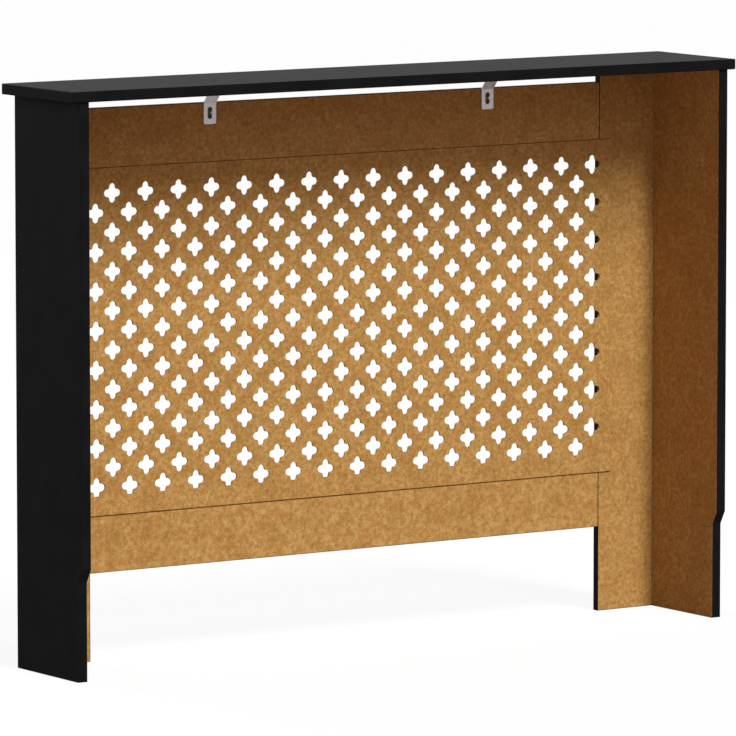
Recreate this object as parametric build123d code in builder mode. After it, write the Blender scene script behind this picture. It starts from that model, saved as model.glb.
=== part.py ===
from build123d import *
import os

# Radiator cover cabinet: a painted board box, open behind and below, that stands over a wall radiator.
# Millimetres. +Z is up, the grille faces -Y, the wall is on +Y, and the origin is under the middle
# of the top panel at floor level. Left and right are those of someone who faces the grille.

# Overall size, taken over the top panel
cabinet_width = 1120
cabinet_depth = 190
cabinet_height = 815

# Top panel
top_thickness = 15
top_edge_radius = 1.2
side_overhang = 12
front_overhang = 14
rear_overhang = 3

# Side panels, notched at the rear foot for the room's skirting board
side_thickness = 15
side_edge_radius = 0.8
notch_depth = 11.2
notch_straight_height = 138
notch_slope_height = 20
notch_curve_radius = 12

# Front frame: two stiles that lap over the side panels, and two rails between them
frame_thickness = 12
frame_edge_radius = 1.5
stile_reveal = 97
rail_width = 106
floor_gap = 124.5
vent_gap = 23.5
rail_joint_gap = 0.1

# Grille panel, let in flush behind the frame
grille_thickness = 3
grille_side_lap = 20.5
grille_top_lap = 22
grille_bottom_lap = 25.4
grille_top_seam = 1
grille_bottom_seam = 1.9
grille_side_seam = 0.1

# Holes of the grille: four round lobes each, in staggered rows
hole_reach = 13.8
lobe_radius = 5.3
column_step = 27.35
row_step = 27.5

# Angle brackets that tie the upper rail to the top
strap_width = 20.5
strap_thickness = 2
strap_corner_radius = 3
bracket_spacing = 473.4
upright_leg = 29.1
level_leg = 29.1
slant_height = 25
slant_depth = 20
bend_radius = 4
slot_step = 9.6
slot_width = 4.4
slot_end_distance = 15.7

# Countersunk screws of the brackets
screw_head_diameter = 7.8
screw_shank_diameter = 3
screw_length = 10
screw_tip_length = 2
recess_width = 0.9
recess_span = 3.6
recess_depth = 0.8

# Headless brads that pin the grille
brad_diameter = 1.6
brad_length = 9
brad_tip_chamfer = 0.4
brad_edge_distance = 10
brad_column_step = 192
brad_columns = 4
brad_row_step = 223
brad_rows = 2

# Dowels, thin ones in the frame and thick ones between the side panels and the top
thin_dowel_diameter = 6
thin_dowel_length = 25
thick_dowel_diameter = 8
thick_dowel_length = 28
dowel_chamfer = 0.8
dowel_end_gap = 0.6
dowel_depth_in_top = 8.5
dowel_depth_in_stile_face = 7.5
stile_side_dowels = 5
stile_side_end_distance = 60
side_top_dowels = 3
side_top_end_distance = 30
rail_dowels = 2
rail_dowel_step = 42
rail_dowel_edge_distance = 20

# Fits
bore_clearance = 0.05
head_clearance = 0.1

# Planes and edges worked out from the sizes above
top_underside = cabinet_height - top_thickness
frame_front_y = -cabinet_depth / 2 + front_overhang
frame_rear_y = frame_front_y + frame_thickness
frame_middle_y = (frame_front_y + frame_rear_y) / 2
side_rear_y = cabinet_depth / 2 - rear_overhang
body_half_width = cabinet_width / 2 - side_overhang
side_middle_x = body_half_width - side_thickness / 2
stile_width = side_thickness + stile_reveal
stile_middle_x = body_half_width - stile_width / 2
opening_half_width = body_half_width - stile_width
upper_rail_top = top_underside - vent_gap
upper_rail_bottom = upper_rail_top - rail_width
lower_rail_top = floor_gap + rail_width
opening_middle_z = (lower_rail_top + upper_rail_bottom) / 2

grille_half_width = opening_half_width + grille_side_lap
grille_bottom = lower_rail_top - grille_bottom_lap
grille_top = upper_rail_bottom + grille_top_lap
grille_middle_z = (grille_bottom + grille_top) / 2
grille_height = grille_top - grille_bottom

slant_start_z = top_underside - slant_height
slant_end_y = frame_rear_y + slant_depth
upright_leg_bottom = slant_start_z - upright_leg
level_leg_end_y = slant_end_y + level_leg

sides = {"left": -1, "right": 1}
to_front = Vector(0, -1, 0)
to_rear = Vector(0, 1, 0)
upwards = Vector(0, 0, 1)
downwards = Vector(0, 0, -1)


def upright_plane(y):
    """The plane at depth y whose own axes run along X and Z, and whose normal points to the front."""
    return Plane.XZ.offset(-y)


def planes_at(points, normal):
    return [Plane(origin=point, z_dir=normal) for point in points]


def spread(first, last, count):
    """Places evenly spaced from the first to the last."""
    return [first + (last - first) * k / max(count - 1, 1) for k in range(count)]


def centred(step, count):
    """Places one step apart, centred on zero."""
    return [step * (k - (count - 1) / 2) for k in range(count)]


def bores(points, way, diameter, depth):
    """Cut round blind bores into the current part, from the points and the way given."""
    with BuildSketch(*planes_at(points, way)) as mouths:
        Circle(diameter / 2 + bore_clearance)
    extrude(mouths.sketch, amount=depth, mode=Mode.SUBTRACT)


def save(piece, name):
    piece.part.label = name
    export_step(piece.part, f"parts/{name}.step")


os.makedirs("parts", exist_ok=True)


# Dowel joints. Each joint has the points where its dowels cross the faces that meet, the way from
# one piece into the next, the dowels' diameter and length, and their depth in that next piece.
def thin_joint(points, way, depth):
    return {"points": points, "way": way, "diameter": thin_dowel_diameter,
            "length": thin_dowel_length, "depth": depth}


def thick_joint(points, way, depth):
    return {"points": points, "way": way, "diameter": thick_dowel_diameter,
            "length": thick_dowel_length, "depth": depth}


def joints_of(sign):
    side_top_y = spread(frame_rear_y + side_top_end_distance, side_rear_y - side_top_end_distance,
                        side_top_dowels)
    stile_side_z = spread(stile_side_end_distance, top_underside - stile_side_end_distance,
                          stile_side_dowels)
    rail_offsets = [rail_dowel_edge_distance + rail_dowel_step * k for k in range(rail_dowels)]
    rail_end = sign * opening_half_width
    return {
        "side_top": thick_joint([(sign * side_middle_x, y, top_underside) for y in side_top_y],
                                upwards, dowel_depth_in_top),
        "stile_head": thin_joint([(sign * stile_middle_x, frame_middle_y, top_underside)],
                                 upwards, dowel_depth_in_top),
        "stile_side": thin_joint([(sign * side_middle_x, frame_rear_y, z) for z in stile_side_z],
                                 to_front, dowel_depth_in_stile_face),
        "upper_rail": thin_joint([(rail_end, frame_middle_y, upper_rail_top - dz) for dz in rail_offsets],
                                 Vector(sign, 0, 0), thin_dowel_length / 2),
        "lower_rail": thin_joint([(rail_end, frame_middle_y, floor_gap + dz) for dz in rail_offsets],
                                 Vector(sign, 0, 0), thin_dowel_length / 2),
    }


joints = {side: joints_of(sign) for side, sign in sides.items()}


def bores_ahead(joint):
    """Cut the joint's bores into the current part, which its dowels run into."""
    bores(joint["points"], joint["way"], joint["diameter"], joint["depth"] + dowel_end_gap)


def bores_behind(joint):
    """Cut the joint's bores into the current part, which its dowels come out of."""
    depth = joint["length"] - joint["depth"] + dowel_end_gap
    bores(joint["points"], -joint["way"], joint["diameter"], depth)


# Screws: two in each leg of each bracket. The points are the middles of the heads' outer faces.
bracket_middles = {side: sign * bracket_spacing / 2 for side, sign in sides.items()}
upright_slot_z = upright_leg_bottom + slot_end_distance
level_slot_y = level_leg_end_y - slot_end_distance
strap_face_y = frame_rear_y + strap_thickness
strap_face_z = top_underside - strap_thickness
rail_screw_points = {side: [(x, strap_face_y, upright_slot_z + dz) for dz in centred(slot_step, 2)]
                     for side, x in bracket_middles.items()}
top_screw_points = {side: [(x, level_slot_y + dy, strap_face_z) for dy in centred(slot_step, 2)]
                    for side, x in bracket_middles.items()}


def screw_bores(points, facing):
    """Cut the bores of countersunk screws into the current part, from the heads' outer faces."""
    with Locations(*planes_at(points, facing)):
        CounterSinkHole(screw_shank_diameter / 2 + bore_clearance, screw_head_diameter / 2,
                        depth=screw_length + bore_clearance, counter_sink_angle=90)


# Brads in rows along the grille's upper and lower edges and in columns along its sides
brad_x = centred(brad_column_step, brad_columns)
brad_z = [grille_middle_z + dz for dz in centred(brad_row_step, brad_rows)]
brad_side_x = grille_half_width - brad_edge_distance
brad_points = {
    "upper": [(x, frame_rear_y, grille_top - brad_edge_distance) for x in brad_x],
    "lower": [(x, frame_rear_y, grille_bottom + brad_edge_distance) for x in brad_x],
    "left": [(-brad_side_x, frame_rear_y, z) for z in brad_z],
    "right": [(brad_side_x, frame_rear_y, z) for z in brad_z],
}


def brad_bores(edge):
    bores(brad_points[edge], to_front, brad_diameter, brad_length + bore_clearance)


def grille_rebate():
    """Cut the shallow recess that the grille lies in, into the rear of the current frame piece."""
    recess_bottom = grille_bottom - grille_bottom_seam
    recess_top = grille_top + grille_top_seam
    with BuildSketch(upright_plane(frame_rear_y)) as recess:
        with Locations((0, (recess_bottom + recess_top) / 2)):
            Rectangle(2 * (grille_half_width + grille_side_seam), recess_top - recess_bottom)
    extrude(recess.sketch, amount=grille_thickness, mode=Mode.SUBTRACT)


# Top panel
with BuildPart() as top_panel:
    with BuildSketch(Plane.XY.offset(top_underside)):
        Rectangle(cabinet_width, cabinet_depth)
    extrude(amount=top_thickness)
    fillet(top_panel.edges(), top_edge_radius)
    for side in sides:
        bores_ahead(joints[side]["side_top"])
        bores_ahead(joints[side]["stile_head"])
        screw_bores(top_screw_points[side], downwards)
save(top_panel, "top_panel")

# Side panels, each drawn from the side and notched at the rear foot
for side, sign in sides.items():
    with BuildPart() as side_panel:
        with BuildSketch(Plane.YZ.offset(sign * side_middle_x)):
            with BuildLine():
                FilletPolyline(
                    (frame_rear_y, top_underside),
                    (frame_rear_y, 0),
                    (side_rear_y - notch_depth, 0),
                    (side_rear_y - notch_depth, notch_straight_height),
                    (side_rear_y, notch_straight_height + notch_slope_height),
                    (side_rear_y, top_underside),
                    radius=[0, 0, 0, notch_curve_radius, 0, 0],
                    close=True,
                )
            make_face()
        extrude(amount=side_thickness / 2, both=True)
        rear_edges = side_panel.edges().filter_by(Axis.Z).group_by(Axis.Y)[-1]
        fillet(rear_edges, side_edge_radius)
        bores_behind(joints[side]["side_top"])
        bores_behind(joints[side]["stile_side"])
    save(side_panel, f"side_panel_{side}")

# Stiles: full-height boards that lap over the side panels and run past the rails' ends
for side, sign in sides.items():
    with BuildPart() as stile:
        with BuildSketch(upright_plane(frame_rear_y)):
            with Locations((sign * stile_middle_x, top_underside / 2)):
                Rectangle(stile_width, top_underside)
        extrude(amount=frame_thickness)
        front_edges = stile.edges().filter_by(Axis.Z).group_by(Axis.Y)[0]
        fillet(front_edges, frame_edge_radius)
        grille_rebate()
        brad_bores(side)
        bores_behind(joints[side]["stile_head"])
        for joint in ("stile_side", "upper_rail", "lower_rail"):
            bores_ahead(joints[side][joint])
    save(stile, f"stile_{side}")

# Rails
for level, bottom in {"upper": upper_rail_bottom, "lower": floor_gap}.items():
    with BuildPart() as rail:
        with BuildSketch(upright_plane(frame_rear_y)):
            with Locations((0, bottom + rail_width / 2)):
                Rectangle(2 * (opening_half_width - rail_joint_gap), rail_width)
        extrude(amount=frame_thickness)
        front_edges = rail.edges().filter_by(Axis.X).group_by(Axis.Y)[0]
        fillet(front_edges, frame_edge_radius)
        grille_rebate()
        brad_bores(level)
        for side in sides:
            bores_behind(joints[side][f"{level}_rail"])
            if level == "upper":
                screw_bores(rail_screw_points[side], to_rear)
    save(rail, f"{level}_rail")

# One hole of the grille: four round lobes joined by four hollow arcs, all tangent
lobe_offset = hole_reach - lobe_radius
hollow_radius = lobe_offset - lobe_radius
with BuildSketch() as hole:
    with BuildLine():
        for turn in (0, 90, 180, 270):
            lobe_middle = Vector(lobe_offset, 0).rotate(Axis.Z, turn)
            hollow_middle = Vector(lobe_offset, lobe_offset).rotate(Axis.Z, turn)
            CenterArc(lobe_middle, lobe_radius, turn - 90, 180)
            CenterArc(hollow_middle, hollow_radius, turn - 90, -90)
    make_face()

# Grille panel. Every second place of the columns and rows holds a hole, shifted by one in each row.
hole_columns = centred(column_step, round(2 * opening_half_width / column_step))
hole_rows = centred(row_step, round((upper_rail_bottom - lower_rail_top) / row_step))
hole_places = [(x, opening_middle_z + z) for row, z in enumerate(hole_rows)
               for column, x in enumerate(hole_columns) if (row + column) % 2]
with BuildPart() as grille_panel:
    with BuildSketch(upright_plane(frame_rear_y)):
        with Locations((0, grille_middle_z)):
            Rectangle(2 * grille_half_width, grille_height)
        with Locations(*hole_places):
            add(hole.sketch, mode=Mode.SUBTRACT)
        with Locations(*[(x, z) for points in brad_points.values() for x, y, z in points]):
            Circle(brad_diameter / 2 + bore_clearance, mode=Mode.SUBTRACT)
    extrude(amount=grille_thickness, clean=False)
save(grille_panel, "grille_panel")

# Brads
for edge, points in brad_points.items():
    with BuildPart() as brads:
        with BuildSketch(*planes_at(points, to_front)):
            Circle(brad_diameter / 2)
        extrude(amount=brad_length)
        tips = brads.faces().filter_by(Axis.Y).group_by(Axis.Y)[0]
        chamfer(tips.edges(), brad_tip_chamfer)
    save(brads, f"grille_brads_{edge}")

# Brackets: seen from the side, an upright leg, a slant towards the wall and a level leg
for side, middle_x in bracket_middles.items():
    with BuildPart() as bracket:
        with BuildSketch(Plane.YZ.offset(middle_x)):
            with BuildLine():
                FilletPolyline(
                    (frame_rear_y, upright_leg_bottom),
                    (frame_rear_y, slant_start_z),
                    (slant_end_y, top_underside),
                    (level_leg_end_y, top_underside),
                    radius=bend_radius,
                )
                offset(amount=strap_thickness, side=Side.RIGHT)
            make_face()
        extrude(amount=strap_width / 2, both=True)
        lower_corners = bracket.edges().filter_by(Axis.Y).group_by(Axis.Z)[0]
        rear_corners = bracket.edges().filter_by(Axis.Z).group_by(Axis.Y)[-1]
        fillet(lower_corners + rear_corners, strap_corner_radius)
        slots = {upright_plane(strap_face_y): upright_slot_z, Plane.XY.offset(strap_face_z): level_slot_y}
        for face, slot_middle in slots.items():
            with BuildSketch(face):
                with Locations((middle_x, slot_middle)):
                    SlotCenterToCenter(slot_step, slot_width, rotation=90)
            extrude(amount=strap_thickness, mode=Mode.SUBTRACT)
            with BuildSketch(face):
                with Locations((middle_x, slot_middle)):
                    SlotCenterToCenter(slot_step, screw_head_diameter, rotation=90)
            extrude(amount=(screw_head_diameter - slot_width) / 2, taper=45, mode=Mode.SUBTRACT)
    save(bracket, f"bracket_{side}")


def screw_set(name, points, facing):
    """Countersunk screws with cross recesses. The section is drawn beside each screw's own axis."""
    with BuildPart() as screws:
        for seat in planes_at(points, facing):
            section = Plane(origin=seat.origin, x_dir=seat.x_dir, z_dir=-seat.y_dir)
            with BuildSketch(section):
                with BuildLine():
                    head_radius = screw_head_diameter / 2 - head_clearance
                    shank_radius = screw_shank_diameter / 2
                    Polyline(
                        (0, 0),
                        (head_radius, 0),
                        (shank_radius, shank_radius - head_radius),
                        (shank_radius, screw_tip_length - screw_length),
                        (0, -screw_length),
                        close=True,
                    )
                make_face()
            revolve(axis=Axis(seat.origin, seat.z_dir))
            with BuildSketch(seat):
                Rectangle(recess_span, recess_width)
                Rectangle(recess_width, recess_span)
            extrude(amount=-recess_depth, mode=Mode.SUBTRACT)
    save(screws, name)


for side in sides:
    screw_set(f"rail_screws_{side}", rail_screw_points[side], to_rear)
    screw_set(f"top_screws_{side}", top_screw_points[side], downwards)

# Dowels, chamfered at both ends
for side in sides:
    for name, joint in joints[side].items():
        starts = [Vector(point) - joint["way"] * (joint["length"] - joint["depth"])
                  for point in joint["points"]]
        with BuildPart() as dowels:
            with BuildSketch(*planes_at(starts, joint["way"])):
                Circle(joint["diameter"] / 2)
            extrude(amount=joint["length"])
            chamfer(dowels.edges().filter_by(GeomType.CIRCLE), dowel_chamfer)
        save(dowels, f"{name}_dowels_{side}")

print("pieces written:", len(os.listdir("parts")))
print("grille holes:", len(hole_places))
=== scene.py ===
import math

import bpy
import numpy as np
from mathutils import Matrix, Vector


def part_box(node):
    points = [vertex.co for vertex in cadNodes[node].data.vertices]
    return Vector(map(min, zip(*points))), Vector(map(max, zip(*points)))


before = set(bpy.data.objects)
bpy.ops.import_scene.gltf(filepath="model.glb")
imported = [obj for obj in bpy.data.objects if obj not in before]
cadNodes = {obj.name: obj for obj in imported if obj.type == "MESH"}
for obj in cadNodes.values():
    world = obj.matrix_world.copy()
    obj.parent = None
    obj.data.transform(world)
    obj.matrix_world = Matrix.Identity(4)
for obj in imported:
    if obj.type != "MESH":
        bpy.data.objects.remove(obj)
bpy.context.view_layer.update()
print("frame loaded,", len(cadNodes), "CAD nodes")


def toLinear(hexColour):
    # sRGB to linear: c / 12.92 up to 0.04045, and ((c + 0.055) / 1.055) ** 2.4 above it
    c = np.array([int(hexColour[k:k + 2], 16) for k in (1, 3, 5)]) / 255
    return (*np.where(c <= 0.04045, c / 12.92, ((c + 0.055) / 1.055) ** 2.4).tolist(), 1.0)


usualSettings = {"MapRange": {"interpolation_type": "SMOOTHSTEP"}, "Mix": {"data_type": "RGBA"}}


def inUse(sockets):
    return [socket for socket in sockets if socket.enabled]


def addNode(tree, kind, inputs=(), **settings):
    # the inputs are given by name, or in a row for those in use; each takes a value, an output,
    # or a whole node, which stands for its first output in use
    made = tree.nodes.new("ShaderNode" + kind)
    for name, value in {**usualSettings.get(kind, {}), **settings}.items():
        setattr(made, name, value)
    byName = isinstance(inputs, dict)
    sockets = [made.inputs[name] for name in inputs] if byName else inUse(made.inputs)
    for socket, value in zip(sockets, inputs.values() if byName else inputs):
        if isinstance(value, bpy.types.Node):
            value = inUse(value.outputs)[0]
        if isinstance(value, bpy.types.NodeSocket):
            tree.links.new(value, socket)
        else:
            socket.default_value = value
    return made


def newMaterial(name):
    material = bpy.data.materials.new(name)
    material.use_nodes = True
    material.node_tree.nodes.clear()
    return material, material.node_tree


photoCamera = {
    "place": (5.725, 8.545, 1.583),    # metres, on the wall side, towards the right side panel
    "aim": (0.0149, 0.0, 0.3936),
    "lens": 357.0, "sensor": 36.0,     # mm
    "nearest": 0.5, "furthest": 200.0,
}


def aimed(kind, name, place, aim):
    # a camera or lamp at a place, turned so that its -Z axis runs to the aim
    made = bpy.data.objects.new(name, kind)
    made.location = place
    made.rotation_euler = (Vector(aim) - Vector(place)).to_track_quat("-Z", "Y").to_euler()
    bpy.context.scene.collection.objects.link(made)
    return made


def setCamera():
    lens = bpy.data.cameras.new("photoCamera")
    lens.lens, lens.sensor_width = photoCamera["lens"], photoCamera["sensor"]
    lens.clip_start, lens.clip_end = photoCamera["nearest"], photoCamera["furthest"]
    bpy.context.scene.camera = aimed(lens, "photoCamera", photoCamera["place"], photoCamera["aim"])


bpy.context.scene.view_settings.view_transform = "Standard"
setCamera()
print("camera set")


# The key is a tall narrow softbox on the wall side, a little aslant: a row of suns from its foot to
# its head. Each end has its elevation, and its azimuth towards the left side panel, in degrees.
keyLamp = {"foot": (41.0, 7.0), "head": (59.5, -1.0), "suns": 5, "width": 8.0, "level": 0.69}
glowLamp = {"elevation": 25.0, "azimuth": 0.0, "width": 30.0, "level": 0.08}    # broad and weak, below it
frontLamp = {"place": (1.2, -4.2, 2.2), "aim": (0, 0, 0.4), "size": 2.4, "power": 150}


def setSun(name, elevation, azimuth, width, level):
    # the level is how bright the sun makes a white face that looks to the wall
    up, sideways = math.radians(elevation), math.radians(azimuth)
    toSun = Vector((-math.sin(sideways) * math.cos(up), math.cos(sideways) * math.cos(up), math.sin(up)))
    sun = bpy.data.lights.new(name, "SUN")
    sun.angle = math.radians(width)
    sun.energy = level * math.pi / toSun.y
    aimed(sun, name, toSun, (0, 0, 0))


def setLamps():
    # the top's shadow on the frame fades over the row's height, and the side panel's over its slant
    row = np.linspace(keyLamp["foot"], keyLamp["head"], keyLamp["suns"]).tolist()
    for number, (elevation, azimuth) in enumerate(row):
        setSun(f"keyLamp{number}", elevation, azimuth, keyLamp["width"], keyLamp["level"] / len(row))
    setSun("glowLamp", **glowLamp)
    front = bpy.data.lights.new("frontLamp", "AREA")
    front.size, front.energy = frontLamp["size"], frontLamp["power"]
    aimed(front, "frontLamp", frontLamp["place"], frontLamp["aim"])


setLamps()
print("lamps set")


room = {"fill": 0.222, "tint": "#FFC9C3", "seen": "#FFFFFF"}    # faint warm light from all round
plainFloor = {
    "half": 40.0, "drop": 0.0003,    # metres: half its side, and how far it lies below the feet
    "seen": "#EDEDED", "bounce": "#948A8A", "glow": "#FFFFFF",
    "shading": 0.09,    # how much of its own shading shows
}


def seenRay(tree):
    # 1 for the rays that show the background: straight, mirrored or through glass
    path = addNode(tree, "LightPath").outputs
    straight = addNode(tree, "Math", (path["Is Camera Ray"], path["Is Glossy Ray"]), operation="MAXIMUM")
    return addNode(tree, "Math", (straight, path["Is Transmission Ray"]), operation="MAXIMUM")


def setWorld():
    world = bpy.data.worlds.new("studio")
    world.use_nodes = True
    tree = world.node_tree
    tree.nodes.clear()
    fill = addNode(tree, "Background", (toLinear(room["tint"]), room["fill"]))
    white = addNode(tree, "Background", (toLinear(room["seen"]), 1.0))
    both = addNode(tree, "MixShader", (seenRay(tree), fill, white))
    addNode(tree, "OutputWorld", (both,))
    bpy.context.scene.world = world


def setFloor():
    # white where it is looked at, with a share of its own shading so that it keeps the shadow,
    # and a warm grey in the light that it throws back at the object
    half, z = plainFloor["half"], -plainFloor["drop"]
    mesh = bpy.data.meshes.new("floor")
    corners = [(-half, -half, z), (half, -half, z), (half, half, z), (-half, half, z)]
    mesh.from_pydata(corners, [], [(0, 1, 2, 3)])
    floor = bpy.data.objects.new("floor", mesh)
    bpy.context.scene.collection.objects.link(floor)
    material, tree = newMaterial("paleFloor")
    seen = seenRay(tree)
    colour = addNode(tree, "Mix", (seen, toLinear(plainFloor["bounce"]), toLinear(plainFloor["seen"])))
    shaded = addNode(tree, "BsdfDiffuse", (colour,))
    white = addNode(tree, "Emission", (toLinear(plainFloor["glow"]), 1.0))
    share = addNode(tree, "Math", (seen, 1 - plainFloor["shading"]), operation="MULTIPLY")
    both = addNode(tree, "MixShader", (share, shaded, white))
    addNode(tree, "OutputMaterial", (both,))
    mesh.materials.append(material)


setWorld()
setFloor()
print("room and floor set")


# A noise's Scale is 1 / the width of its lumps in metres. The ends say where a noise starts and stops
# to count, and then what it gives at either: a roughness, or a colour's share (0 and 1 if not given).
fibreboard = {    # sanded raw fibreboard: matt tan felt of wood fibres with faint clouds and bark specks
    "tan": "#AC8444", "pale": "#CEA869", "ends": (0.34, 0.66),
    "fibre": {"Scale": 1 / 0.0065, "Detail": 4, "Roughness": 0.7},
    "clouds": [    # rust, dark clouds, and single fibres drawn a little coarse so that they show
        {"colour": "#B97C42", "noise": {"Scale": 1 / 0.012, "Detail": 2}, "ends": (0.42, 0.68, 0, 0.35)},
        {"colour": "#9C7239", "noise": {"Scale": 1 / 0.030, "Detail": 2}, "ends": (0.40, 0.70, 0, 0.34)},
        {"colour": "#86602E", "noise": {"Scale": 1 / 0.0011, "Detail": 2, "Roughness": 0.6},
         "ends": (0.38, 0.66, 0, 0.34)},
    ],
    "specks": [
        {"colour": "#6B4722", "noise": {"Scale": 1 / 0.0024, "Detail": 1}, "ends": (0.65, 0.75, 0, 0.7)},
    ],
    "roughness": 0.9, "fuzz": 0.00005,
}
straws = {        # stray straws and bits of bark in the felt: short curved lines, light and dark
    "bend": {"Scale": 1 / 0.010, "Detail": 1}, "middle": 0.5, "width": 0.03,
    "length": {"Scale": 1 / 0.008, "Detail": 1},
    "kinds": [{"colour": "#DDB67C", "ends": (0.56, 0.68, 0, 0.5)},
              {"colour": "#7D542A", "ends": (0.32, 0.44, 0.6, 0)}],
}
lacquer = {       # sprayed satin black lacquer: nearly even, with a fine orange peel
    "low": "#151516",
    "drift": [{"colour": "#19191B", "noise": {"Scale": 1 / 0.05, "Detail": 2}, "ends": (0.3, 0.7)}],
    "peel": {"Scale": 1 / 0.0024, "Detail": 1}, "peelHeight": 0.000012, "roughness": 0.5,
}
boardFinish = {   # fibres and satin lacquer both mirror little, and each board is cut from another place
    "specular": 0.012, "shift": (3.1, 1.7, 0),    # metres from one board's pattern to the next
}
spray = {         # how far the lacquer wraps onto the raw face from its border, in metres
    "reach": 0.00115, "solid": 0.6, "gone": 1.1,    # thins out between these shares of its reach
    "ragged": 0.0006, "rag": {"Scale": 1 / 0.004, "Detail": 2},
    "marginRagged": 0.1,    # the share of a margin that is added to the ragged line
    "blend": 0.0002,
}

# Each board's raw face: its axis (0 x, 1 y, 2 z) and side, and how deep below it the lacquer starts,
# in metres. The top has a wide lacquered margin. The side panels' front border is hidden in the joint
# with the stiles. The grille's holes, and the recess that it lies in, were cut after the spraying.
rawFaces = {
    "top_panel": {"axis": 2, "side": -1, "skin": 0.0004, "margin": 0.020},
    "side_panel_left": {"axis": 0, "side": 1, "skin": 0.0004, "hidden": 0.003},
    "side_panel_right": {"axis": 0, "side": -1, "skin": 0.0004, "hidden": 0.003},
    "stile_left": {"axis": 1, "side": 1, "skin": 0.0034},
    "stile_right": {"axis": 1, "side": 1, "skin": 0.0034},
    "upper_rail": {"axis": 1, "side": 1, "skin": 0.0034},
    "lower_rail": {"axis": 1, "side": 1, "skin": 0.0034},
    "grille_panel": {"axis": 1, "side": 1, "skin": 0.0024, "bareBorder": True},
}


def layered(tree, place, colour, layers):
    # lays each layer's colour over those before it, where its own noise is high
    for layer in layers:
        noise = addNode(tree, "TexNoise", {"Vector": place, **layer["noise"]})
        share = addNode(tree, "MapRange", (noise, *layer["ends"]))
        colour = addNode(tree, "Mix", (share, colour, toLinear(layer["colour"])))
    return colour


def strewn(tree, place, colour):
    # a line runs where one noise crosses its middle value, and is kept where another is high or low
    wander = addNode(tree, "TexNoise", {"Vector": place, **straws["bend"]})
    off = addNode(tree, "Math", (wander, straws["middle"]), operation="SUBTRACT")
    away = addNode(tree, "Math", (off,), operation="ABSOLUTE")
    line = addNode(tree, "MapRange", (away, 0, straws["width"], 1, 0))
    piecemeal = addNode(tree, "TexNoise", {"Vector": place, **straws["length"]})
    for kind in straws["kinds"]:
        kept = addNode(tree, "MapRange", (piecemeal, *kind["ends"]))
        share = addNode(tree, "Math", (line, kept), operation="MULTIPLY")
        colour = addNode(tree, "Mix", (share, colour, toLinear(kind["colour"])))
    return colour


def rawColour(tree, place, fibres):
    share = addNode(tree, "MapRange", (fibres, *fibreboard["ends"]))
    felt = addNode(tree, "Mix", (share, toLinear(fibreboard["tan"]), toLinear(fibreboard["pale"])))
    clouded = layered(tree, place, felt, fibreboard["clouds"])
    return layered(tree, place, strewn(tree, place, clouded), fibreboard["specks"])


def lacquered(tree, coordinates, place, node):
    # 1 where lacquer lies: below the raw face's skin, and out to a ragged line round its border
    raw = rawFaces[node]
    axis, side = raw["axis"], raw["side"]
    low, high = (np.array(corner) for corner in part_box(node))
    low[1] -= raw.get("hidden", 0)
    middle, half = ((low + high) / 2).tolist(), ((high - low) / 2).tolist()
    along = addNode(tree, "SeparateXYZ", (coordinates,)).outputs
    face = float(high[axis] if side > 0 else low[axis])
    depth = addNode(tree, "Math", (along[axis], -side, side * face), operation="MULTIPLY_ADD")
    under = addNode(tree, "MapRange", (depth, raw["skin"] - spray["blend"], raw["skin"]))
    if raw.get("bareBorder"):
        return under
    borders = []
    for k in [k for k in range(3) if k != axis]:
        off = addNode(tree, "Math", (along[k], middle[k]), operation="SUBTRACT")
        away = addNode(tree, "Math", (off,), operation="ABSOLUTE")
        borders.append(addNode(tree, "Math", (half[k], away), operation="SUBTRACT"))
    border = addNode(tree, "Math", borders, operation="MINIMUM")
    margin = raw.get("margin", 0)
    rag = addNode(tree, "TexNoise", {"Vector": place, **spray["rag"]})
    ragged = spray["ragged"] + spray["marginRagged"] * margin
    line = addNode(tree, "Math", (rag, ragged, border), operation="MULTIPLY_ADD")
    reach = margin + spray["reach"]
    wrapped = addNode(tree, "MapRange", (line, spray["solid"] * reach, spray["gone"] * reach, 1, 0))
    return addNode(tree, "Math", (under, wrapped), operation="MAXIMUM")


def boardMaterial(node, number):
    material, tree = newMaterial("lacqueredFibreboard_" + node)
    coordinates = addNode(tree, "TexCoord").outputs["Object"]
    shift = [number * step for step in boardFinish["shift"]]
    place = addNode(tree, "Mapping", {"Vector": coordinates, "Location": shift})
    fibres = addNode(tree, "TexNoise", {"Vector": place, **fibreboard["fibre"]})
    peel = addNode(tree, "TexNoise", {"Vector": place, **lacquer["peel"]})
    covered = lacquered(tree, coordinates, place, node)
    black = layered(tree, place, toLinear(lacquer["low"]), lacquer["drift"])
    fuzz = addNode(tree, "Bump", {"Height": fibres, "Distance": fibreboard["fuzz"]})
    skin = addNode(tree, "Bump", {"Height": peel, "Distance": lacquer["peelHeight"]})
    ends = (0, 1, fibreboard["roughness"], lacquer["roughness"])
    surface = addNode(tree, "BsdfPrincipled", {
        "Base Color": addNode(tree, "Mix", (covered, rawColour(tree, place, fibres), black)),
        "Roughness": addNode(tree, "MapRange", (covered, *ends)),
        "Specular IOR Level": boardFinish["specular"],
        "Normal": addNode(tree, "Mix", (covered, fuzz, skin), data_type="VECTOR"),
    })
    addNode(tree, "OutputMaterial", (surface,))
    return material


def dress(piece, material):
    piece.data.materials.clear()
    piece.data.materials.append(material)


for number, node in enumerate(rawFaces):
    dress(cadNodes[node], boardMaterial(node, number))
print("boards finished")


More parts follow.
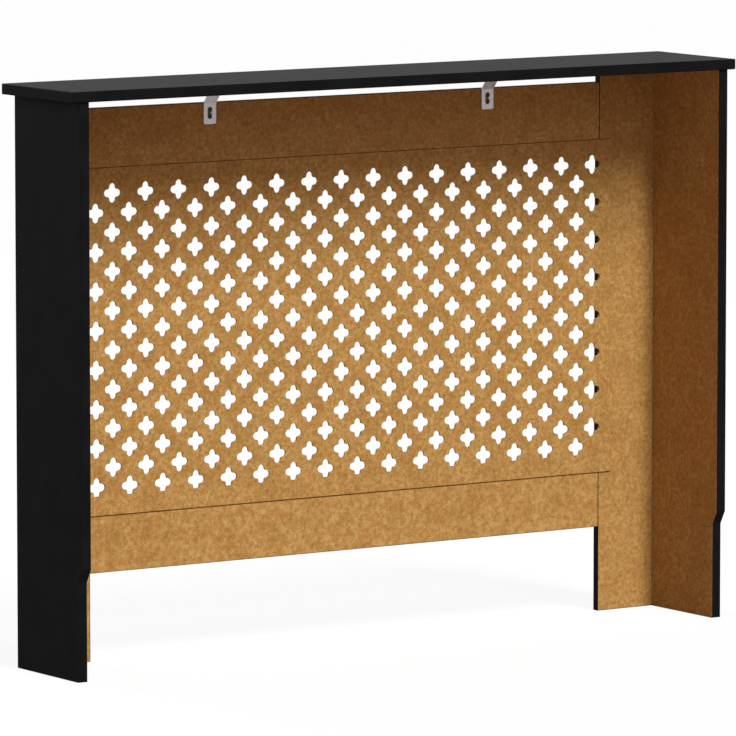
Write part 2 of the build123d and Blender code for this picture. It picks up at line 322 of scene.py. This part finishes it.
zincPlate = {     # bright zinc plate on rolled strap: soft grey mirror, a little cloudy, dulled by handling
    "metallic": 1, "dull": "#A8A1A0", "clean": "#BEB8B7", "ends": (0.18, 0.34),
    "cloud": {"Scale": 1 / 0.006, "Detail": 3}, "roughness": (0.3, 0.7, 0.38, 0.5),
    "scratch": {"Scale": 1 / 0.0004, "Detail": 2}, "rolled": (1, 0.03, 0.03),    # drawn out along the strap
}
blackSteel = {    # phosphated screws: flat black, with a faint sheen painted into the colour as lighter grain on the high spots
    "name": "phosphatedSteel", "metallic": 0,
    # the high colour is the painted sheen
    "low": "#141312", "high": "#242220", "ends": (0.4, 0.65),
    "grain": {"Scale": 1 / 0.0006, "Detail": 2}, "roughness": (0.3, 0.7, 0.45, 0.65),
}
wireSteel = {     # drawn wire brads: dull brown-grey steel
    "name": "drawnSteelWire", "metallic": 1,
    "low": "#4A413A", "high": "#6A6058", "ends": (0.35, 0.65),
    "grain": {"Scale": 1 / 0.0005, "Detail": 2}, "roughness": (0.3, 0.7, 0.45, 0.6),
}
beech = {         # turned beech dowels: pale pinkish tan with short dark flecks along the grain
    "pale": "#CBA679", "roughness": 0.7,
    "layers": [    # each drawn out along the dowel, from its width to its length
        {"colour": "#B68C5E", "noise": {"Scale": 1 / 0.0006, "Detail": 2}, "ends": (0.35, 0.65),
         "drawn": 0.0006 / 0.012},
        {"colour": "#8F6238", "noise": {"Scale": 1 / 0.0004, "Detail": 1}, "ends": (0.66, 0.74, 0, 0.7),
         "drawn": 0.0004 / 0.003},
    ],
}


def zincMaterial():
    material, tree = newMaterial("zincPlatedSteel")
    place = addNode(tree, "TexCoord").outputs["Object"]
    cloud = addNode(tree, "TexNoise", {"Vector": place, **zincPlate["cloud"]})
    drawn = addNode(tree, "Mapping", {"Vector": place, "Scale": zincPlate["rolled"]})
    scratch = addNode(tree, "TexNoise", {"Vector": drawn, **zincPlate["scratch"]})
    shade = addNode(tree, "Math", (cloud, scratch), operation="MULTIPLY")
    share = addNode(tree, "MapRange", (shade, *zincPlate["ends"]))
    colour = addNode(tree, "Mix", (share, toLinear(zincPlate["dull"]), toLinear(zincPlate["clean"])))
    surface = addNode(tree, "BsdfPrincipled", {
        "Base Color": colour,
        "Metallic": zincPlate["metallic"],
        "Roughness": addNode(tree, "MapRange", (cloud, *zincPlate["roughness"])),
    })
    addNode(tree, "OutputMaterial", (surface,))
    return material


def steelMaterial(steel):
    material, tree = newMaterial(steel["name"])
    place = addNode(tree, "TexCoord").outputs["Object"]
    grain = addNode(tree, "TexNoise", {"Vector": place, **steel["grain"]})
    share = addNode(tree, "MapRange", (grain, *steel["ends"]))
    colour = addNode(tree, "Mix", (share, toLinear(steel["low"]), toLinear(steel["high"])))
    surface = addNode(tree, "BsdfPrincipled", {
        "Base Color": colour,
        "Metallic": steel["metallic"],
        "Roughness": addNode(tree, "MapRange", (grain, *steel["roughness"])),
    })
    addNode(tree, "OutputMaterial", (surface,))
    return material


def beechMaterial(name, axis):
    material, tree = newMaterial("turnedBeech_" + name)
    place = addNode(tree, "TexCoord").outputs["Object"]
    wood = toLinear(beech["pale"])
    for layer in beech["layers"]:
        scale = [layer["drawn"] if k == axis else 1 for k in range(3)]
        wood = layered(tree, addNode(tree, "Mapping", {"Vector": place, "Scale": scale}), wood, [layer])
    surface = addNode(tree, "BsdfPrincipled", {"Base Color": wood, "Roughness": beech["roughness"]})
    addNode(tree, "OutputMaterial", (surface,))
    return material


dowelAxes = {"rail_dowels": 0, "stile_side_dowels": 1, "side_top_dowels": 2, "stile_head_dowels": 2}
finishes = {
    "bracket": zincMaterial(), "screws": steelMaterial(blackSteel), "brads": steelMaterial(wireSteel),
    **{name: beechMaterial(name, axis) for name, axis in dowelAxes.items()},
}
for node, piece in cadNodes.items():
    for key, material in finishes.items():
        if key in node:
            dress(piece, material)
print("metals and dowels finished")
